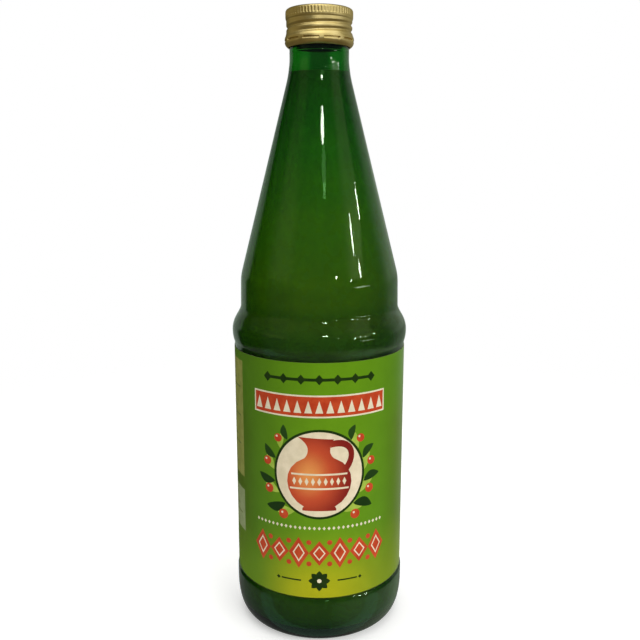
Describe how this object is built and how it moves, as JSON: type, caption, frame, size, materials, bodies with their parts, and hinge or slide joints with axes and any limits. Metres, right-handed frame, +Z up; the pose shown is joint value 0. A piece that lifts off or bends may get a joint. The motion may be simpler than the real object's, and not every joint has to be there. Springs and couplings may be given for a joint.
{
  "type": "vinegar bottle",
  "caption": "Tall green glass bottle of cloudy vinegar with a ringed shoulder, long tapering neck, wrap-round paper label and rolled gold screw cap.",
  "frame": {"origin": "centre of the foot, on the plane that the bottle stands on", "axes": "+Z up along the bottle's axis, -Y out through the front of the label, +X to the right of the label"},
  "size_m": [0.0786, 0.0786, 0.2718],
  "materials": {
    "green_glass": "clear moulded bottle glass, smooth and glossy",
    "cloudy_vinegar": null,
    "label_paper": "coated paper printed green to yellow-green with coloured shapes",
    "gold_aluminium": "satin gold lacquer over rolled sheet"
  },
  "bodies": {
    "root": {"bottle_glass": "green_glass", "vinegar": "cloudy_vinegar", "label": "label_paper", "cap": "gold_aluminium"}
  },
  "joints": []
}
